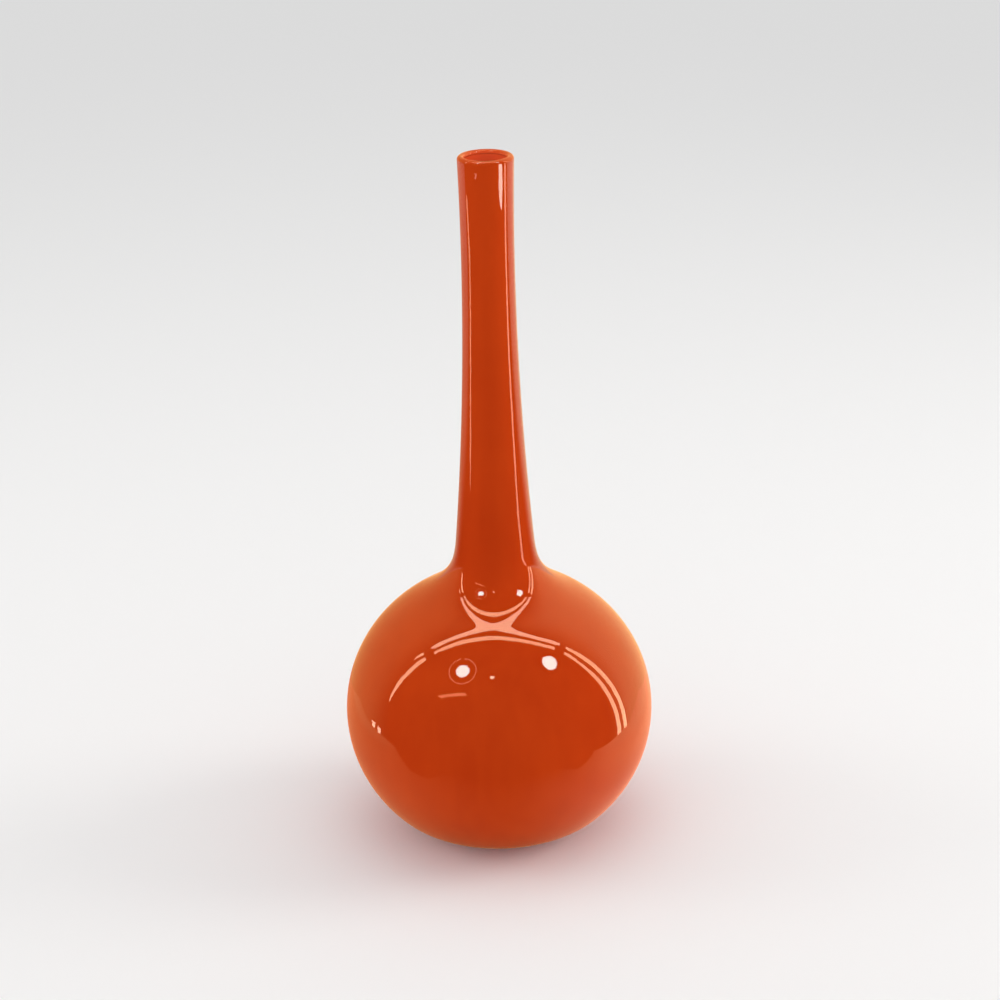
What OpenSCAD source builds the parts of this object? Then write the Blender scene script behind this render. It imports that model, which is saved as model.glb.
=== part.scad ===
// Art glass vase: a squashed globe drawn up into a long, slim neck.
// It is blown in three fused layers: a clear gather inside, opaque orange glass over it,
// and a clear casing over both that also makes the rounded lip and the ground foot.
// Units are millimetres. The vase stands on Z = 0, and its axis is the Z axis.

/* [Whole vase] */
// Height from the table to the top of the lip
height = 340; // [325:1:365]

/* [Globe] */
// Width of the globe at its widest line
globe_w = 151.5; // [140:0.5:165]
// Height of the widest line above the table
globe_z = 60.4; // [56:0.2:66]
// From the widest line up to where the round crown would close if there were no neck
crown_h = 71.2; // [64:0.2:78]
// How far below the table the round belly would close if there were no foot
belly_sink = 11.6; // [8:0.1:18]

/* [Foot] */
// Width of the flat that the vase stands on
foot_w = 56; // [48:1:62]
// Height of the soft turn from the flat into the belly
foot_turn_h = 11.7; // [8:0.1:16]
// Width of the hollow that is ground where the pontil iron came off
pontil_w = 30; // [20:1:40]
// Depth of that hollow at its middle
pontil_depth = 1.4; // [0.6:0.1:1.8]

/* [Shoulder] */
// Width of the ring where the crown begins to sweep up to the neck
shoulder_w = 80; // [70:1:90]
// How far above the widest line that sweep has become the neck
neck_foot_rise = 95.2; // [86:0.1:104]
// Width of the neck there
neck_foot_w = 37.2; // [33:0.2:42]

/* [Neck] */
// Width of the neck at its narrowest
throat_w = 25; // [22:0.2:30]
// How far the narrowest place is below the top of the lip
throat_drop = 45.4; // [30:0.2:60]
// Width over the lip
lip_w = 26.3; // [24:0.1:32]

/* [Glass] */
// Thickness of the clear casing over the colour
casing_t = 0.7; // [0.4:0.1:1.2]
// Thickness of the opaque orange layer
orange_t = 2.1; // [1.2:0.1:2.6]
// Thickness of the clear gather inside the colour
gather_t = 0.7; // [0.4:0.1:1.2]
// Thickness of the casing at the foot, where the glass ran together
casing_foot_t = 2.4; // [2:0.1:4]
// Thickness of the gather at the foot
gather_foot_t = 3.8; // [2:0.1:6]

/* [Hidden] */

// Half widths, because every outline is turned about the axis
globe_r = globe_w / 2;
foot_r = foot_w / 2;
pontil_r = pontil_w / 2;
shoulder_r = shoulder_w / 2;
neck_foot_r = neck_foot_w / 2;
throat_r = throat_w / 2;
lip_r = lip_w / 2;

// Depth of the round belly, and the heights of the neck's foot and of its narrowest place
belly_h = globe_z + belly_sink;
neck_foot_z = globe_z + neck_foot_rise;
throat_z = height - throat_drop;

// The lip is a full half round as thick as the wall
wall_t = casing_t + orange_t + gather_t;
lip_z = height - wall_t / 2;

// How far the handles of each blending curve reach, as shares of its span
turn_handle_share = 0.55;
crown_handle_share = 0.566;
neck_handle_share = 0.397;

// How many straight facets follow each stretch of the outline
pontil_steps = 4;
turn_steps = 7;
belly_steps = 16;
crown_steps = 16;
sweep_steps = 12;
neck_steps = 12;
mouth_steps = 5;
lip_steps = 8;
// How many facets go round the axis
round_steps = 96;

// A smooth curve from a to d, pulled by the handles b and c
function curve(a, b, c, d, steps) =
    [for (i = [0:steps]) let (u = i / steps, v = 1 - u)
        v * v * v * a + 3 * v * v * u * b + 3 * v * u * u * c + u * u * u * d];

// Half a turn about centre c, from its outer side over the top to its inner side
function half_round(c, r) =
    [for (i = [0:lip_steps]) let (a = 180 * i / lip_steps) c + r * [cos(a), sin(a)]];

function without_first(line) = [for (i = [1:len(line) - 1]) line[i]];
function backwards(line) = [for (i = [len(line) - 1:-1:0]) line[i]];

// The globe: two half ellipses that share the widest line, h tall from there to their end
function globe_point(angle, h) = [globe_r * cos(angle), globe_z + h * sin(angle)];
function globe_heading(angle, h) =
    let (d = [-globe_r * sin(angle), h * cos(angle)]) d / norm(d);
function globe_arc(from, to, h, steps) =
    [for (i = [0:steps]) globe_point(from + (to - from) * i / steps, h)];

turn_angle = -asin((globe_z - foot_turn_h) / belly_h);
shoulder_angle = acos(shoulder_r / globe_r);

// The foot turn starts level on the table and ends running up the belly
turn_end = globe_point(turn_angle, belly_h);
turn_heading = globe_heading(turn_angle, belly_h);
turn_corner = turn_end - turn_heading * (foot_turn_h / turn_heading[1]);
turn_start = [foot_r, 0];
foot_turn = curve(
    turn_start,
    turn_start + turn_handle_share * (turn_corner - turn_start),
    turn_end + turn_handle_share * (turn_corner - turn_end),
    turn_end, turn_steps);

belly = globe_arc(turn_angle, 0, belly_h, belly_steps);
crown = globe_arc(0, shoulder_angle, crown_h, crown_steps);

// The neck is one long hollow curve, narrowest at the throat
function neck_r(z) = z < throat_z
    ? throat_r + (neck_foot_r - throat_r) * pow((throat_z - z) / (throat_z - neck_foot_z), 2)
    : throat_r + (lip_r - throat_r) * pow((z - throat_z) / (lip_z - throat_z), 2);
function neck_line(from, to, steps) =
    [for (i = [0:steps]) let (z = from + (to - from) * i / steps) [neck_r(z), z]];

// The sweep leaves along the crown and arrives along the neck
sweep_start = globe_point(shoulder_angle, crown_h);
sweep_end = [neck_foot_r, neck_foot_z];
sweep_span = norm(sweep_end - sweep_start);
neck_lean = atan(2 * (neck_foot_r - throat_r) / (throat_z - neck_foot_z));
sweep = curve(
    sweep_start,
    sweep_start + crown_handle_share * sweep_span * globe_heading(shoulder_angle, crown_h),
    sweep_end + neck_handle_share * sweep_span * [sin(neck_lean), -cos(neck_lean)],
    sweep_end, sweep_steps);

// The vase as blown, from the middle of its underside out and up to the lip
skin = concat(
    [[0, 0]], foot_turn, without_first(belly), without_first(crown), without_first(sweep),
    without_first(neck_line(neck_foot_z, throat_z, neck_steps)),
    without_first(neck_line(throat_z, lip_z, mouth_steps)));
last = len(skin) - 1;

// Which way the glass faces at each point of the skin: level at the lip
function facing(i) = i == last
    ? [1, 0]
    : let (d = skin[i + 1] - skin[max(i - 1, 0)]) [d[1], -d[0]] / norm(d);

// The glass is even above the widest line and thickens below it towards the foot
function foot_share(i) = pow(max(0, 1 - skin[i][1] / globe_z), 2);
function casing_at(i) = casing_t + (casing_foot_t - casing_t) * foot_share(i);
function gather_at(i) = gather_t + (gather_foot_t - gather_t) * foot_share(i);

// The faces between the layers, and the face of the hollow
orange_outside = [for (i = [0:last]) skin[i] - casing_at(i) * facing(i)];
orange_inside = [for (i = [0:last]) orange_outside[i] - orange_t * facing(i)];
hollow = [for (i = [0:last]) orange_inside[i] - gather_at(i) * facing(i)];

// The ground hollow under the foot takes the place of the skin's middle point
pontil = [for (i = [0:pontil_steps]) let (share = i / pontil_steps)
    [pontil_r * share, pontil_depth * (1 - share * share)]];
outside = concat(pontil, without_first(skin));

// Both round ends at the lip: the colour's own nose and the casing over it
colour_nose = half_round([lip_r - casing_t - orange_t / 2, lip_z], orange_t / 2);
lip_round = half_round([lip_r - wall_t / 2, lip_z], wall_t / 2);

module turned(outline) {
    rotate_extrude($fn = round_steps) polygon(outline);
}

// Clear glass gathered first and blown hollow: the face that the water touches
module inner_gather() {
    color([0.9, 0.93, 0.95, 0.4])
        turned(concat(orange_inside, backwards(hollow)));
}

// Opaque orange glass, laid over the gather and ending in a round nose inside the lip
module orange_layer() {
    color([0.76, 0.25, 0.06])
        turned(concat(orange_outside, without_first(colour_nose), backwards(orange_inside)));
}

// Clear casing over the colour, turned over the lip down to the top of the gather
module clear_casing() {
    color([0.95, 0.6, 0.45, 0.35])
        turned(concat(
            outside, without_first(lip_round), backwards(colour_nose), backwards(orange_outside)));
}

inner_gather();
orange_layer();
clear_casing();
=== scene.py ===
import math

import bmesh
import bpy
from mathutils import Matrix, Vector, noise
from mathutils.geometry import interpolate_bezier


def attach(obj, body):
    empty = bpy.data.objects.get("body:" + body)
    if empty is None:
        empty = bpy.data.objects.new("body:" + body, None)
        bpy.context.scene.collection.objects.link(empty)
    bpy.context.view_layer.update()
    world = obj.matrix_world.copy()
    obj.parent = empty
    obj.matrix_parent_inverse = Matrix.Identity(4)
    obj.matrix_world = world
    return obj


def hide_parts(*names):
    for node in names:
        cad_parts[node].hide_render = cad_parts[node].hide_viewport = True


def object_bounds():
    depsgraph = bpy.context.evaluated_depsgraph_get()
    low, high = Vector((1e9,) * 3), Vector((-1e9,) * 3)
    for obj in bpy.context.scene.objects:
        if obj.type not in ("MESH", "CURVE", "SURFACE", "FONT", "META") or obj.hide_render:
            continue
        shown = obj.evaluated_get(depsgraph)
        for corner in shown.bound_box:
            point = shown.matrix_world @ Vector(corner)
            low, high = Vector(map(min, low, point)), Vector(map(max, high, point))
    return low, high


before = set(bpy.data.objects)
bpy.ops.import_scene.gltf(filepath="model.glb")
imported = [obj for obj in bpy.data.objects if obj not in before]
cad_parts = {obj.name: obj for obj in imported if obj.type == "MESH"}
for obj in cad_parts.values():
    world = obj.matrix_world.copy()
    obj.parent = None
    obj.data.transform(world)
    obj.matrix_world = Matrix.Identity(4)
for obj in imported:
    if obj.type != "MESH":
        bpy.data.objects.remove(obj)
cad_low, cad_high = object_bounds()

# The gather: the clear glass that was taken up first and blown into a globe with a long neck.
# It is the face that the water touches, and it thickens below the globe's widest line, where
# the hot glass ran down. It stands for the CAD node of the same layer.

# The vase as blown, from the middle of its underside out, up the globe and along the neck
height = cad_high.z
globe_r = cad_high.x
globe_z = 0.0604
crown_h = 0.0712
belly_sink = 0.0116
belly_h = globe_z + belly_sink
foot_r = 0.028
foot_turn_h = 0.0117
shoulder_r = 0.040
neck_foot_r = 0.0186
neck_foot_z = globe_z + 0.0952
throat_r = 0.0125
throat_z = height - 0.0454
lip_r = 0.01315

# How thick each layer is, in its even part and at the foot
casing_t = 0.0007
orange_t = 0.0021
gather_t = 0.0007
casing_foot_t = 0.0024
gather_foot_t = 0.0038
wall_t = casing_t + orange_t + gather_t
lip_z = height - wall_t / 2

# How far the handles of each blending curve reach, as shares of its span
turn_handle_share = 0.55
crown_handle_share = 0.566
neck_handle_share = 0.397

# How many points follow each stretch, close enough that a thin highlight runs over it without a kink
turn_steps = 15
belly_steps = 34
crown_steps = 38
sweep_steps = 30
neck_steps = 30
mouth_steps = 12


def globe_point(angle, tall):
    """A point of the globe's outline, which is a half ellipse above its widest line and another below."""
    return Vector((globe_r * math.cos(angle), 0, globe_z + tall * math.sin(angle)))


def globe_heading(angle, tall):
    return Vector((-globe_r * math.sin(angle), 0, tall * math.cos(angle))).normalized()


def globe_arc(start, end, tall, steps):
    return [globe_point(start + (end - start) * i / steps, tall) for i in range(1, steps + 1)]


def neck_arc(start, end, wide_r, wide_z, steps):
    """One stretch of the neck, which widens by the square of the distance from the throat to wide_r."""
    line = []
    for i in range(1, steps + 1):
        z = start + (end - start) * i / steps
        share = (z - throat_z) / (wide_z - throat_z)
        line.append(Vector((throat_r + (wide_r - throat_r) * share**2, 0, z)))
    return line


def blown_outline():
    """The skin's points from the foot's flat to the lip."""
    turn_angle = -math.asin((globe_z - foot_turn_h) / belly_h)
    turn_end = globe_point(turn_angle, belly_h)
    turn_heading = globe_heading(turn_angle, belly_h)
    corner = turn_end - turn_heading * (foot_turn_h / turn_heading.z)
    turn_start = Vector((foot_r, 0, 0))
    turn = interpolate_bezier(
        turn_start,
        turn_start.lerp(corner, turn_handle_share),
        turn_end.lerp(corner, turn_handle_share),
        turn_end, turn_steps)

    shoulder_angle = math.acos(shoulder_r / globe_r)
    sweep_start = globe_point(shoulder_angle, crown_h)
    sweep_end = Vector((neck_foot_r, 0, neck_foot_z))
    span = (sweep_end - sweep_start).length
    lean = math.atan(2 * (neck_foot_r - throat_r) / (throat_z - neck_foot_z))
    along_neck = Vector((math.sin(lean), 0, -math.cos(lean)))
    sweep = interpolate_bezier(
        sweep_start,
        sweep_start + crown_handle_share * span * globe_heading(shoulder_angle, crown_h),
        sweep_end + neck_handle_share * span * along_neck,
        sweep_end, sweep_steps)

    return [
        *turn,
        *globe_arc(turn_angle, 0, belly_h, belly_steps),
        *globe_arc(0, shoulder_angle, crown_h, crown_steps),
        *sweep[1:],
        *neck_arc(neck_foot_z, throat_z, neck_foot_r, neck_foot_z, neck_steps),
        *neck_arc(throat_z, lip_z, lip_r, lip_z, mouth_steps),
    ]


skin = blown_outline()


def facing(i):
    """Which way the glass faces at one point of the skin: level at the lip and down at the foot."""
    if i == 0:
        return Vector((0, 0, -1))
    if i == len(skin) - 1:
        return Vector((1, 0, 0))
    run = skin[i + 1] - skin[i - 1]
    return Vector((run.z, 0, -run.x)).normalized()


def below_skin(even_depth, foot_depth):
    """The skin moved into the glass, by one depth down to the widest line and on to another at the foot."""
    line = []
    for i, point in enumerate(skin):
        share = max(0.0, 1 - point.z / globe_z) ** 2
        line.append(point - facing(i) * (even_depth + (foot_depth - even_depth) * share))
    on_axis = line[0].copy()
    on_axis.x = 0
    return [on_axis, *line]


def half_round(centre_r, radius, steps):
    """From the outer side of a round lip over the top to its inner side."""
    line = []
    for i in range(steps + 1):
        angle = math.pi * i / steps
        line.append(Vector((centre_r + radius * math.cos(angle), 0, lip_z + radius * math.sin(angle))))
    return line


def thinned(line):
    """Every third point, for the faces that lie buried inside the colour."""
    return [*line[:-1:3], line[-1]]


# Hand-blown glass is never quite true. These are how deep its slow waves are, how long they are
# across and by how much longer along the neck, and how high the ground foot keeps it true
wave_depth = 0.00003
wave_length = 0.05
wave_drawn = 0.6
foot_true_h = 0.012


def blown_wave(place):
    """How far the glass lies inside its true outline at a place, nothing at the ground foot."""
    fade = min(1.0, max(0.0, place.z - foot_true_h) / foot_true_h)
    stretch = Vector((place.x, place.y, place.z * wave_drawn)) / wave_length
    return wave_depth * fade * (0.5 + 0.5 * noise.noise(stretch))


# A sixteenth of the turn is spun in this many steps and doubled four times. Edges that bend less
# than the limit are shaded as one smooth surface
wedge = math.tau / 16
wedge_steps = 15
weld_gap = 1e-6
smooth_up_to = math.radians(32)


def turned(name, outline, material):
    """Spins an outline that starts and ends on the axis into one shut skin, and rides it on the vase."""
    bm = bmesh.new()
    points = [bm.verts.new(p) for p in outline]
    edges = [bm.edges.new(pair) for pair in zip(points, points[1:])]
    bmesh.ops.spin(bm, geom=points + edges, cent=(0, 0, 0), axis=(0, 0, 1),
                   angle=wedge, steps=wedge_steps)
    for turn in (wedge, wedge * 2, wedge * 4, wedge * 8):
        copied = bmesh.ops.duplicate(bm, geom=[*bm.verts, *bm.edges, *bm.faces])["geom"]
        bmesh.ops.rotate(bm, verts=[g for g in copied if isinstance(g, bmesh.types.BMVert)],
                         cent=(0, 0, 0), matrix=Matrix.Rotation(turn, 3, "Z"))
    bmesh.ops.remove_doubles(bm, verts=bm.verts, dist=weld_gap)
    bmesh.ops.recalc_face_normals(bm, faces=bm.faces)
    for vert in bm.verts:
        reach = vert.co.xy.length
        if reach > 0:
            vert.co.xy *= 1 - blown_wave(vert.co) / max(reach, throat_r)
    for face in bm.faces:
        face.smooth = True
    for edge in bm.edges:
        edge.smooth = edge.calc_face_angle(0) < smooth_up_to
    mesh = bpy.data.meshes.new(name)
    bm.to_mesh(mesh)
    bm.free()
    mesh.materials.append(material)
    piece = bpy.data.objects.new(name, mesh)
    bpy.context.scene.collection.objects.link(piece)
    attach(piece, "root")
    return piece


def add_group(name, inputs, outputs):
    """A new shader node group, with a colour or value socket for each name given."""
    group = bpy.data.node_groups.new(name, "ShaderNodeTree")
    for side, sockets in (("INPUT", inputs), ("OUTPUT", outputs)):
        for socket_name, socket_type in sockets.items():
            group.interface.new_socket(socket_name, in_out=side, socket_type=socket_type)
    return group, group.nodes.new("NodeGroupInput"), group.nodes.new("NodeGroupOutput")


# How high up from the table the foot is worn at all, and how high it is worn most
worn_h = 0.0012
worn_full_h = 0.0001


def blown_surface_group():
    """Height of the fine waves and draw lines that the blowing left, and a mask of the worn foot.

    Draw Lines is the height of the lines as a share of the waves'.
    """
    group, given, out = add_group(
        "blown_surface",
        {"Draw Lines": "NodeSocketFloat"},
        {"Height": "NodeSocketFloat", "Foot Wear": "NodeSocketFloat"})
    nodes, links = group.nodes, group.links
    place = nodes.new("ShaderNodeTexCoord")

    drawn = nodes.new("ShaderNodeMapping")
    drawn.inputs["Scale"].default_value = (1, 1, 0.06)
    links.new(place.outputs["Object"], drawn.inputs["Vector"])
    lines = nodes.new("ShaderNodeTexNoise")
    lines.inputs["Scale"].default_value = 260
    lines.inputs["Detail"].default_value = 2
    links.new(drawn.outputs["Vector"], lines.inputs["Vector"])

    waves = nodes.new("ShaderNodeTexNoise")
    waves.inputs["Scale"].default_value = 55
    waves.inputs["Detail"].default_value = 1
    links.new(place.outputs["Object"], waves.inputs["Vector"])

    both = nodes.new("ShaderNodeMath")
    both.operation = "MULTIPLY_ADD"
    links.new(lines.outputs["Fac"], both.inputs[0])
    links.new(given.outputs["Draw Lines"], both.inputs[1])
    links.new(waves.outputs["Fac"], both.inputs[2])
    links.new(both.outputs["Value"], out.inputs["Height"])

    split = nodes.new("ShaderNodeSeparateXYZ")
    links.new(place.outputs["Object"], split.inputs["Vector"])
    low = nodes.new("ShaderNodeMapRange")
    low.inputs["From Min"].default_value = worn_h
    low.inputs["From Max"].default_value = worn_full_h
    links.new(split.outputs["Z"], low.inputs["Value"])
    scratches = nodes.new("ShaderNodeTexNoise")
    scratches.inputs["Scale"].default_value = 900
    scratches.inputs["Detail"].default_value = 4
    scratches.inputs["Distortion"].default_value = 1.5
    links.new(place.outputs["Object"], scratches.inputs["Vector"])
    worn = nodes.new("ShaderNodeMath")
    worn.operation = "MULTIPLY"
    links.new(low.outputs["Result"], worn.inputs[0])
    links.new(scratches.outputs["Fac"], worn.inputs[1])
    links.new(worn.outputs["Value"], out.inputs["Foot Wear"])
    return group


blown_surface = blown_surface_group()


# How rough the fire-polished glass is, how rough where the foot is worn most, and how deep the
# fine waves and draw lines are
polished = 0.004
worn_rough = 0.55
ripple_depth = 0.000003
draw_line_share = 0.18


def clear_glass(name, colour):
    """Clear, fire-polished glass, which lamps and soft light reach through to the colour beneath it."""
    material = bpy.data.materials.new(name)
    material.use_nodes = True
    nodes, links = material.node_tree.nodes, material.node_tree.links
    glass = nodes["Principled BSDF"]
    glass.inputs["Base Color"].default_value = (*colour, 1)
    glass.inputs["Transmission Weight"].default_value = 1
    glass.inputs["IOR"].default_value = 1.5

    surface = nodes.new("ShaderNodeGroup")
    surface.node_tree = blown_surface
    surface.inputs["Draw Lines"].default_value = draw_line_share
    ripple = nodes.new("ShaderNodeBump")
    ripple.inputs["Distance"].default_value = ripple_depth
    links.new(surface.outputs["Height"], ripple.inputs["Height"])
    links.new(ripple.outputs["Normal"], glass.inputs["Normal"])
    polish = nodes.new("ShaderNodeMapRange")
    polish.inputs["To Min"].default_value = polished
    polish.inputs["To Max"].default_value = worn_rough
    links.new(surface.outputs["Foot Wear"], polish.inputs["Value"])
    links.new(polish.outputs["Result"], glass.inputs["Roughness"])

    ray = nodes.new("ShaderNodeLightPath")
    shader = glass
    for kind in ("Is Diffuse Ray", "Is Shadow Ray"):
        let_through = nodes.new("ShaderNodeBsdfTransparent")
        mix = nodes.new("ShaderNodeMixShader")
        links.new(ray.outputs[kind], mix.inputs["Fac"])
        links.new(shader.outputs[0], mix.inputs[1])
        links.new(let_through.outputs["BSDF"], mix.inputs[2])
        shader = mix
    links.new(shader.outputs[0], nodes["Material Output"].inputs["Surface"])
    return material


# The clear layers reach this far into the opaque colour, so that no air shows between them
fused_t = 0.00025

gather = turned(
    "inner_gather_glass",
    [
        *thinned(below_skin(casing_t + orange_t - fused_t, casing_foot_t + orange_t - fused_t)),
        *reversed(below_skin(wall_t, casing_foot_t + orange_t + gather_foot_t)),
    ],
    clear_glass("clear_gather", (0.97, 0.985, 0.98)))
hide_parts("inner_gather")


# The colour: opaque, deep orange glass laid over the gather while both were hot. Drawing the
# neck out pulled faint streaks along it, which turn with the globe lower down. It ends in a
# round nose inside the lip.

# How far down the neck the painted glow inside the mouth reaches, and how far into the wall
bore_r = lip_r - wall_t
glow_from_z = throat_z - 0.03
glow_full_in = 0.0008
glow_none_in = 0.0018


def painted_mouth_glow_group():
    """A painted glow inside the mouth, which stands in for light that soaks through the thin wall of the
    neck.

    Full Glow is its colour at the lip.
    """
    group, given, out = add_group(
        "painted_mouth_glow", {"Full Glow": "NodeSocketColor"}, {"Glow": "NodeSocketColor"})
    nodes, links = group.nodes, group.links
    place = nodes.new("ShaderNodeTexCoord")
    split = nodes.new("ShaderNodeSeparateXYZ")
    links.new(place.outputs["Object"], split.inputs["Vector"])
    flat = nodes.new("ShaderNodeVectorMath")
    flat.operation = "MULTIPLY"
    flat.inputs[1].default_value = (1, 1, 0)
    links.new(place.outputs["Object"], flat.inputs[0])
    reach = nodes.new("ShaderNodeVectorMath")
    reach.operation = "LENGTH"
    links.new(flat.outputs["Vector"], reach.inputs[0])
    depth = nodes.new("ShaderNodeMapRange")
    depth.inputs["From Min"].default_value = glow_from_z
    depth.inputs["From Max"].default_value = height
    links.new(split.outputs["Z"], depth.inputs["Value"])
    within = nodes.new("ShaderNodeMapRange")
    within.inputs["From Min"].default_value = bore_r + glow_none_in
    within.inputs["From Max"].default_value = bore_r + glow_full_in
    links.new(reach.outputs["Value"], within.inputs["Value"])
    both = nodes.new("ShaderNodeMath")
    both.operation = "MULTIPLY"
    links.new(depth.outputs["Result"], both.inputs[0])
    links.new(within.outputs["Result"], both.inputs[1])
    tint = nodes.new("ShaderNodeMix")
    tint.data_type = "RGBA"
    tint.inputs["A"].default_value = (0, 0, 0, 1)
    links.new(given.outputs["Full Glow"], tint.inputs["B"])
    links.new(both.outputs["Value"], tint.inputs["Factor"])
    links.new(tint.outputs["Result"], out.inputs["Glow"])
    return group


# The streaks' share beside the broad cloudiness, and how far the shade is moved darker up to the neck's foot
# and lighter at the lip, rising evenly between them
streak_share = 0.5
below_neck_shift = -0.10
lip_shift = 0.22


def streaked_orange():
    """Opaque orange glass, a little lighter and darker along the streaks that the drawing left."""
    material = bpy.data.materials.new("orange_glass")
    material.use_nodes = True
    nodes, links = material.node_tree.nodes, material.node_tree.links
    orange = nodes["Principled BSDF"]
    orange.inputs["Roughness"].default_value = 0.5
    orange.inputs["Specular IOR Level"].default_value = 0.0

    place = nodes.new("ShaderNodeTexCoord")
    drawn = nodes.new("ShaderNodeMapping")
    drawn.inputs["Scale"].default_value = (1, 1, 0.1)
    links.new(place.outputs["Object"], drawn.inputs["Vector"])
    streaks = nodes.new("ShaderNodeTexNoise")
    streaks.inputs["Scale"].default_value = 120
    streaks.inputs["Detail"].default_value = 5
    streaks.inputs["Distortion"].default_value = 0.6
    links.new(drawn.outputs["Vector"], streaks.inputs["Vector"])
    cloud = nodes.new("ShaderNodeTexNoise")
    cloud.inputs["Scale"].default_value = 18
    cloud.inputs["Detail"].default_value = 3
    links.new(place.outputs["Object"], cloud.inputs["Vector"])
    both = nodes.new("ShaderNodeMath")
    both.operation = "MULTIPLY_ADD"
    both.inputs[1].default_value = streak_share
    links.new(streaks.outputs["Fac"], both.inputs[0])
    links.new(cloud.outputs["Fac"], both.inputs[2])

    # Darker on the globe and the neck's foot, and lighter up the neck to the lip, by height alone
    split = nodes.new("ShaderNodeSeparateXYZ")
    links.new(place.outputs["Object"], split.inputs["Vector"])
    height_shift = nodes.new("ShaderNodeMapRange")
    height_shift.inputs["From Min"].default_value = neck_foot_z
    height_shift.inputs["From Max"].default_value = height
    height_shift.inputs["To Min"].default_value = below_neck_shift
    height_shift.inputs["To Max"].default_value = lip_shift
    links.new(split.outputs["Z"], height_shift.inputs["Value"])
    shade = nodes.new("ShaderNodeMath")
    links.new(both.outputs["Value"], shade.inputs[0])
    links.new(height_shift.outputs["Result"], shade.inputs[1])

    shades = nodes.new("ShaderNodeValToRGB")
    shades.color_ramp.elements[0].position = 0.40
    shades.color_ramp.elements[0].color = (0.530, 0.042, 0.0050, 1)
    shades.color_ramp.elements[1].position = 0.95
    shades.color_ramp.elements[1].color = (0.615, 0.056, 0.0066, 1)
    links.new(shade.outputs["Value"], shades.inputs["Fac"])
    links.new(shades.outputs["Color"], orange.inputs["Base Color"])

    # The orange glass glows by itself inside the mouth: a painted glow that no lamp gives
    inside = nodes.new("ShaderNodeGroup")
    inside.node_tree = painted_mouth_glow_group()
    inside.inputs["Full Glow"].default_value = (0.18, 0.034, 0.014, 1)
    links.new(inside.outputs["Glow"], orange.inputs["Emission Color"])
    orange.inputs["Emission Strength"].default_value = 1.0
    return material


nose_steps = 12

colour = turned(
    "orange_glass_layer",
    [
        *below_skin(casing_t, casing_foot_t),
        *half_round(lip_r - casing_t - orange_t / 2, orange_t / 2, nose_steps)[1:-1],
        *reversed(thinned(below_skin(casing_t + orange_t, casing_foot_t + orange_t))),
    ],
    streaked_orange())
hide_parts("orange_layer")


# The casing: clear glass over the colour, which gives the deep gloss. It runs over the lip,
# which the flame rounded, and its foot is ground flat round a shallow hollow where the iron
# that held the vase came off.
pontil_r = 0.015
pontil_depth = 0.0014
pontil_steps = 12
lip_steps = 24

pontil = []
for step in range(pontil_steps):
    share = step / pontil_steps
    pontil.append(Vector((pontil_r * share, 0, pontil_depth * (1 - share**2))))
pontil.append(Vector((pontil_r, 0, 0)))

casing = turned(
    "clear_casing_glass",
    [
        *pontil,
        *skin,
        *half_round(lip_r - wall_t / 2, wall_t / 2, lip_steps)[1:],
        *reversed(half_round(lip_r - casing_t - orange_t / 2, orange_t / 2 - fused_t, nose_steps)),
        *reversed(thinned(below_skin(casing_t + fused_t, casing_foot_t + fused_t))[:-1]),
    ],
    clear_glass("clear_casing", (0.985, 0.985, 0.985)))
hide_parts("clear_casing")


# The stage: a plain pale, matt floor under an even pale sky. The floor is one broad disc a hair
# below the foot, and neither of them shows in the gloss.
floor_r = 60
floor_drop = 0.0002
floor_shade = 0.92
sky_level = 0.77
backdrop_level = 0.74


def stage_material(name, colour, glow=0.0):
    """A plain matt finish, or a plain glow of the given strength."""
    material = bpy.data.materials.new(name)
    material.use_nodes = True
    nodes, links = material.node_tree.nodes, material.node_tree.links
    if glow:
        shader = nodes.new("ShaderNodeEmission")
        shader.inputs["Color"].default_value = (*colour, 1)
        shader.inputs["Strength"].default_value = glow
        links.new(shader.outputs["Emission"], nodes["Material Output"].inputs["Surface"])
    else:
        nodes["Principled BSDF"].inputs["Base Color"].default_value = (*colour, 1)
        nodes["Principled BSDF"].inputs["Roughness"].default_value = 1.0
        nodes["Principled BSDF"].inputs["Specular IOR Level"].default_value = 0.0
    return material


def stage_piece(name, bm, material):
    mesh = bpy.data.meshes.new(name)
    bm.to_mesh(mesh)
    bm.free()
    mesh.materials.append(material)
    piece = bpy.data.objects.new(name, mesh)
    bpy.context.scene.collection.objects.link(piece)
    return piece


bm = bmesh.new()
bmesh.ops.create_circle(bm, cap_ends=True, segments=96, radius=floor_r)
bmesh.ops.translate(bm, verts=bm.verts, vec=(0, 0, -floor_drop))
floor = stage_piece("floor", bm, stage_material("floor_finish", (floor_shade,) * 3))
floor.visible_glossy = False

world = bpy.data.worlds.new("sky")
bpy.context.scene.world = world
world.use_nodes = True
nodes, links = world.node_tree.nodes, world.node_tree.links
ray = nodes.new("ShaderNodeLightPath")
shade = None
for kind, level in (("Is Camera Ray", backdrop_level), ("Is Glossy Ray", 0.0)):
    mix = nodes.new("ShaderNodeMix")
    mix.data_type = "RGBA"
    mix.inputs["A"].default_value = (sky_level, sky_level, sky_level, 1)
    mix.inputs["B"].default_value = (level, level, level, 1)
    links.new(ray.outputs[kind], mix.inputs["Factor"])
    if shade:
        links.new(shade, mix.inputs["A"])
    shade = mix.outputs["Result"]
links.new(shade, nodes["Background"].inputs["Color"])


# What the gloss mirrors: a light tent round the vase with a bright double rim round its open
# front, and three round lamps in the dark room before it. They are strips, discs and a cloth
# that glow by themselves and show in reflections only.
tent_r = 15


def tent_point(over, back):
    """A place by two angles seen from the vase: over to the right from straight up, and back from there."""
    over, back = math.radians(over), math.radians(back)
    return Vector((tent_r * math.sin(over), tent_r * math.tan(back), tent_r * math.cos(over)))


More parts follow.
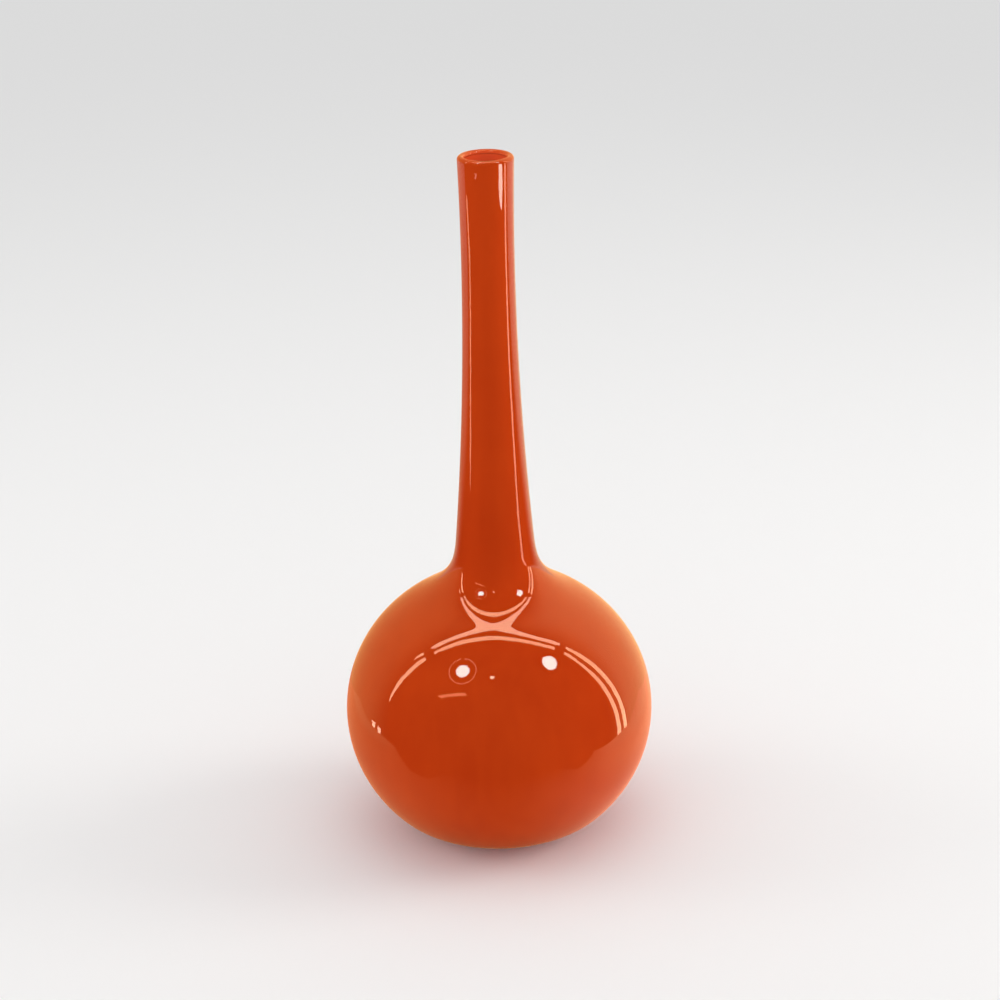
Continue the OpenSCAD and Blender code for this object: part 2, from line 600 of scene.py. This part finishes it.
def only_mirrored(piece):
    for kind in ("camera", "diffuse", "transmission", "volume_scatter", "shadow"):
        setattr(piece, "visible_" + kind, False)


# The degrees that each straight piece of a strip bridges
strip_step = 2


def tent_strip(name, ways, material):
    """A strip through places that are each given as over, back and width, all in degrees."""
    places = [ways[0]]
    for start, end in zip(ways, ways[1:]):
        steps = max(1, round(abs(end[0] - start[0]) / strip_step))
        for i in range(1, steps + 1):
            places.append([a + (b - a) * i / steps for a, b in zip(start, end)])
    bm = bmesh.new()
    rows = []
    for over, back, width in places:
        rows.append([bm.verts.new(tent_point(over, back + side)) for side in (-width / 2, width / 2)])
    for near, far in zip(rows, rows[1:]):
        bm.faces.new([*near, *reversed(far)])
    only_mirrored(stage_piece(name, bm, material))


rim_glow = stage_material("rim_glow", (1.0, 0.66, 0.38), 10.0)
joint_glow = stage_material("rim_joint_glow", (1.0, 0.69, 0.46), 10.2)

# The rim's two lines, each in straight runs between the tent's corners
tent_strip("rim_front_left", [
    (-84, 2.6, 0.5), (-81.5, 2.4, 1.6), (-76, 2.0, 2.6), (-70, 1.5, 3.2), (-60, 0.2, 3.1), (-52, -0.4, 3.2),
    (-47, -1.2, 2.9)], rim_glow)
tent_strip("rim_front_top", [
    (-41, -1.65, 1.9), (-37.5, -1.65, 1.9), (-33.5, -2.0, 2.8), (-29.5, -2.4, 3.1), (-22, -3.0, 3.3),
    (-13, -3.5, 3.3), (-5.5, -3.9, 3.7), (2, -4.3, 3.5), (5.5, -4.7, 3.1), (14, -5.15, 3.0), (18, -5.2, 2.9),
    (22, -4.85, 2.6), (26, -4.55, 2.7), (30, -4.15, 2.6), (34, -3.4, 2.5), (36.5, -2.9, 2.4)], rim_glow)
tent_strip("rim_front_right", [
    (43, -2.4, 2.6), (55, -1.95, 2.3), (66, -0.35, 2.9), (77, 1.4, 3.3), (88, 3.4, 3.4), (99, 5.4, 3.9),
    (109, 7.2, 4.0)], rim_glow)
tent_strip("rim_rear_left", [(-54, 4.9, 0.6), (-50, 4.3, 1.8), (-47, 3.9, 1.9)], rim_glow)
tent_strip("rim_rear_top", [
    (-41, 3.5, 1.7), (-37, 3.0, 3.0), (-33, 2.9, 2.8), (-29, 2.75, 2.8), (-24.5, 2.8, 3.1), (-21, 2.9, 3.5),
    (-16.6, 3.1, 3.7), (-14.2, 3.4, 3.9), (-12.7, 3.55, 4.0), (-12.2, 5.6, 8.1), (-5, 6.2, 8.0),
    (-1.7, 6.1, 8.2), (2, 5.5, 8.7), (5.5, 4.7, 8.7), (7.6, 4.3, 8.6), (8.3, 2.05, 4.3), (10.3, 1.5, 4.2),
    (14, 0.6, 3.8), (17.7, 0.25, 3.0), (21.4, -0.1, 2.7), (25.4, -0.05, 2.5), (29, 0.4, 2.6),
    (33, 1.0, 2.7), (38.5, 1.9, 2.3)], joint_glow)
tent_strip("rim_rear_right", [
    (43, 2.0, 2.3), (55, 3.85, 3.1), (66, 6.0, 3.4), (77, 8.15, 3.6), (88, 10.35, 3.6), (99, 12.45, 3.6),
    (109, 14.2, 3.6)], rim_glow)
tent_strip("rim_front_left_foot", [(-111, 8.6, 3.3), (-102.3, 7.9, 3.3)], joint_glow)
tent_strip("rim_rear_left_foot", [(-110, 15.1, 3.2), (-102.3, 14.5, 3.2)], joint_glow)


# The smallest share to which the two distances of a glow below are ever drawn in
least_drawn = 0.05


def graded_glow(name, stops, start, end, drawn_in=None):
    """A glow with its own colour at each X given, which rises from nothing to full between two Y.

    Nearer to X = 0 than drawn_in, both those Y come closer in the same proportion.
    """
    material = bpy.data.materials.new(name)
    material.use_nodes = True
    nodes, links = material.node_tree.nodes, material.node_tree.links
    place = nodes.new("ShaderNodeTexCoord")
    split = nodes.new("ShaderNodeSeparateXYZ")
    links.new(place.outputs["Object"], split.inputs["Vector"])
    left, right = stops[0][0], stops[-1][0]
    strongest = max(max(colour) for x, colour in stops)

    across = nodes.new("ShaderNodeMapRange")
    across.inputs["From Min"].default_value = left
    across.inputs["From Max"].default_value = right
    links.new(split.outputs["X"], across.inputs["Value"])
    shades = nodes.new("ShaderNodeValToRGB")
    shades.color_ramp.interpolation = "EASE"
    for x, colour in stops:
        share = (x - left) / (right - left)
        if 0 < share < 1:
            stop = shades.color_ramp.elements.new(share)
        else:
            stop = shades.color_ramp.elements[0 if share == 0 else -1]
        stop.color = (*(level / strongest for level in colour), 1)
    links.new(across.outputs["Result"], shades.inputs["Fac"])

    along = nodes.new("ShaderNodeMapRange")
    along.interpolation_type = "SMOOTHSTEP"
    along.inputs["From Min"].default_value = start
    along.inputs["From Max"].default_value = end
    along.inputs["To Max"].default_value = strongest
    if drawn_in:
        beside = nodes.new("ShaderNodeMath")
        beside.operation = "ABSOLUTE"
        links.new(split.outputs["X"], beside.inputs[0])
        narrowed = nodes.new("ShaderNodeMapRange")
        narrowed.inputs["From Max"].default_value = drawn_in
        narrowed.inputs["To Min"].default_value = least_drawn
        links.new(beside.outputs["Value"], narrowed.inputs["Value"])
        stretched = nodes.new("ShaderNodeMath")
        stretched.operation = "DIVIDE"
        links.new(split.outputs["Y"], stretched.inputs[0])
        links.new(narrowed.outputs["Result"], stretched.inputs[1])
        links.new(stretched.outputs["Value"], along.inputs["Value"])
    else:
        links.new(split.outputs["Y"], along.inputs["Value"])
    shader = nodes.new("ShaderNodeEmission")
    links.new(shades.outputs["Color"], shader.inputs["Color"])
    links.new(along.outputs["Result"], shader.inputs["Strength"])
    links.new(shader.outputs["Emission"], nodes["Material Output"].inputs["Surface"])
    return material


# The tent's cloth behind that rim is brighter on the right and fades to nothing at the rim
cloth_r = 40
bm = bmesh.new()
bmesh.ops.create_uvsphere(bm, u_segments=48, v_segments=24, radius=cloth_r)
only_mirrored(stage_piece("tent_cloth", bm, graded_glow(
    "tent_cloth_glow", [(-16, (0.92, 0.47, 0.17)), (22, (1.62, 1.00, 0.46))], -3, 16)))

# The pale sheet that the vase stands on ends before it in a rough edge. Its glow is painted dim in the
# middle and towards that edge, a painted shadow of the vase
sheet_ways = [
    (-0.36, 0.20), (-0.34, 0.12), (-0.325, 0.05), (-0.295, -0.04), (-0.26, -0.08), (-0.19, -0.087),
    (-0.133, -0.09), (-0.103, -0.11), (-0.10, -0.146), (-0.06, -0.19), (0.0, -0.215), (0.074, -0.214),
    (0.109, -0.165), (0.124, -0.115), (0.15, -0.109), (0.205, -0.112), (0.223, -0.074), (0.25, -0.03),
    (0.27, 0.04), (0.33, 0.11), (0.36, 0.20)]
sheet_drop = 0.0001
bm = bmesh.new()
bm.faces.new([bm.verts.new((x, y, -sheet_drop)) for x, y in sheet_ways])
# Dim near X = 0 and fading out towards the front edge: the vase's painted shadow on the mirrored sheet
only_mirrored(stage_piece("pale_sheet", bm, graded_glow("pale_sheet_glow", [
    (-0.28, (1.25, 0.66, 0.27)), (-0.20, (1.15, 0.46, 0.18)), (-0.10, (0.90, 0.34, 0.15)),
    (0.0, (0.36, 0.18, 0.08)), (0.08, (1.30, 0.53, 0.33)), (0.16, (2.00, 0.90, 0.46)),
    (0.24, (2.10, 1.10, 0.56))], -0.18, -0.04)))


def disc_towards_vase(bm, place, outer, inner=0.0):
    """A disc or a ring, square to the way to it, with its half widths in degrees."""
    rings = []
    for half_width in (outer, inner):
        if half_width:
            made = bmesh.ops.create_circle(bm, segments=40,
                                           radius=place.length * math.tan(math.radians(half_width)))
            rings.append([*{e for v in made["verts"] for e in v.link_edges}])
    if inner:
        bmesh.ops.bridge_loops(bm, edges=[*rings[0], *rings[1]])
    else:
        bmesh.ops.contextual_create(bm, geom=rings[0])
    bmesh.ops.rotate(bm, verts=bm.verts, matrix=place.to_track_quat("Z", "Y").to_matrix())
    bmesh.ops.translate(bm, verts=bm.verts, vec=place)


lamp_glow = stage_material("lamp_glow", (0.72, 1.0, 0.92), 18.5)
for name, over, back, outer, inner, material in (
    ("lamp_left", -27.3, -25.3, 4.7, 0.0, lamp_glow),
    ("lamp_right", 36.3, -15.6, 5.3, 0.0, lamp_glow),
    ("lamp_small", -5.5, -36.0, 1.2, 0.0, stage_material("lamp_small_glow", (1.0, 0.90, 0.62), 16.0)),
    ("lamp_left_rim", -27.3, -25.3, 9.9, 9.2, stage_material("lamp_rim_glow", (1.0, 0.5, 0.3), 5.0)),
):
    bm = bmesh.new()
    disc_towards_vase(bm, tent_point(over, back), outer, inner)
    only_mirrored(stage_piece(name, bm, material))
tent_strip("thin_strip", [(-54.7, -31.9, 2.7), (-44.0, -37.9, 2.7), (-33.0, -42.8, 2.7)],
           stage_material("thin_strip_glow", (1.0, 0.42, 0.20), 7.5))


# What only the neck mirrors, because it looks down on it: a floor and four strips round the vase,
# at about the height of the globe's top. They glow on their upper faces alone and show in
# reflections only.
shelf_z = 0.16
low_shelf_z = 0.105
shelf_floor_z = 0.128
# Bearings start from this far before the vase's axis
bearing_y = -0.009


def shining_up(material):
    """The same glow on the upper face alone, with nothing to see from below."""
    nodes, links = material.node_tree.nodes, material.node_tree.links
    side = nodes.new("ShaderNodeNewGeometry")
    below = nodes.new("ShaderNodeBsdfTransparent")
    mix = nodes.new("ShaderNodeMixShader")
    links.new(side.outputs["Backfacing"], mix.inputs["Fac"])
    links.new(nodes["Emission"].outputs["Emission"], mix.inputs[1])
    links.new(below.outputs["BSDF"], mix.inputs[2])
    links.new(mix.outputs["Shader"], nodes["Material Output"].inputs["Surface"])
    return material


def shelf_strip(name, z, ways, material):
    """A strip that runs outwards, through places of bearing to the right, reach and width in degrees."""
    bm = bmesh.new()
    rows = []
    for bearing, reach, width in ways:
        row = []
        for side in (-width / 2, width / 2):
            turn = math.radians(bearing + side)
            row.append(bm.verts.new((reach * math.sin(turn), bearing_y - reach * math.cos(turn), z)))
        rows.append(row)
    for near, far in zip(rows, rows[1:]):
        bm.faces.new([near[0], far[0], far[1], near[1]])
    only_mirrored(stage_piece(name, bm, material))


# The floor leaves room for the vase at the middle of its front edge
bm = bmesh.new()
bm.faces.new([bm.verts.new((x, y, shelf_floor_z)) for x, y in (
    (-1.3, -0.015), (-0.045, -0.015), (-0.045, 0.03), (0.045, 0.03), (0.045, -0.015), (1.3, -0.015),
    (1.3, 1.5), (-1.3, 1.5))])
only_mirrored(stage_piece("shelf_floor", bm, shining_up(graded_glow("shelf_floor_glow", [
    (-0.65, (0.95, 0.72, 0.60)), (-0.35, (0.80, 0.50, 0.35)), (-0.15, (0.60, 0.36, 0.22)),
    (0.15, (1.10, 1.00, 0.68)), (0.65, (1.30, 1.05, 0.84))], 0.03, 0.13, drawn_in=0.15))))

neck_line_glow = shining_up(stage_material("neck_line_glow", (1.0, 0.60, 0.34), 5.6))
shelf_strip("neck_line_left", shelf_z, [
    (-83, 0.085, 1.0), (-84.3, 0.12, 4.0), (-85.8, 0.155, 5.0), (-89.0, 0.235, 5.8), (-88.7, 0.335, 6.3),
    (-85.9, 0.43, 6.6), (-85.5, 0.48, 6.8), (-87.2, 0.51, 7.0), (-89.4, 0.54, 7.0), (-90.6, 0.556, 6.0),
    (-92, 0.565, 2.0)], neck_line_glow)
neck_edge_glow = shining_up(stage_material("neck_edge_glow", (1.0, 0.60, 0.38), 7.0))
shelf_strip("neck_line_right", low_shelf_z, [
    (81, 0.18, 5.0), (78.7, 0.25, 6.0), (81, 0.32, 7.0), (82.5, 0.40, 7.5), (82.5, 0.50, 7.8),
    (84, 0.62, 8.2), (85.5, 0.75, 8.6), (85.5, 1.1, 8.6)], neck_edge_glow)
neck_streak_glow = shining_up(stage_material("neck_streak_glow", (1.0, 0.84, 0.68), 13.5))
shelf_strip("neck_streak", shelf_z, [
    (63.0, 0.530, 1.0), (62.7, 0.535, 9.5), (62.1, 0.542, 14.5), (61.8, 0.554, 16.5),
    (62.4, 0.567, 16.5), (62.4, 0.62, 16.5), (62.4, 0.9, 16.5)], neck_streak_glow)
neck_fleck_glow = shining_up(stage_material("neck_fleck_glow", (1.0, 0.6, 0.42), 4.5))
shelf_strip("neck_fleck", shelf_z, [
    (-41.5, 0.560, 4.0), (-41.7, 0.5625, 8.0), (-41.3, 0.5685, 8.0), (-41.5, 0.572, 4.0)],
    neck_fleck_glow)


# The lamps that light the scene: three broad, soft discs, one each side a little behind the vase
# and a weak one above it, so that the globe is lightest towards its right side.
vase_middle = (0, 0, 0.12)
lamp_spread = math.radians(100)


def soft_lamp(name, place, size, watts, tint):
    data = bpy.data.lights.new(name, "AREA")
    data.shape = "DISK"
    data.size = size
    data.energy = watts
    data.spread = lamp_spread
    data.color = tint
    lamp = bpy.data.objects.new(name, data)
    lamp.location = place
    lamp.rotation_euler = (Vector(vase_middle) - Vector(place)).to_track_quat("-Z", "Y").to_euler()
    bpy.context.scene.collection.objects.link(lamp)
    lamp.visible_camera = False
    lamp.visible_glossy = False
    lamp.visible_transmission = False


soft_lamp("soft_right", (1.7, 0.2, 0.9), 1.0, 3.2, (1.0, 0.96, 0.92))
soft_lamp("soft_left", (-1.7, 0.2, 0.9), 1.0, 1.45, (1.0, 0.97, 0.94))
soft_lamp("soft_top", (0.1, 0.1, 1.6), 1.2, 0.62, (1.0, 0.98, 0.96))


# The camera: where the photograph was taken from, a little above the vase and turned slightly
# so that the vase leans to the left by the same small angle.
camera_place = (0, -1.1184, 0.6178)
look_down = math.radians(21.81)
lean_angle = math.radians(1.45)
aim_right = math.radians(0.1375)

camera_data = bpy.data.cameras.new("camera")
camera_data.lens = 90
camera_data.sensor_width = 36
camera = bpy.data.objects.new("camera", camera_data)
bpy.context.scene.collection.objects.link(camera)
camera.matrix_world = (
    Matrix.Translation(camera_place)
    @ Matrix.Rotation(math.pi / 2 - look_down, 4, "X")
    @ Matrix.Rotation(-lean_angle, 4, "Z")
    @ Matrix.Rotation(-aim_right, 4, "Y")
)
bpy.context.scene.camera = camera
bpy.context.scene.view_settings.view_transform = "Standard"
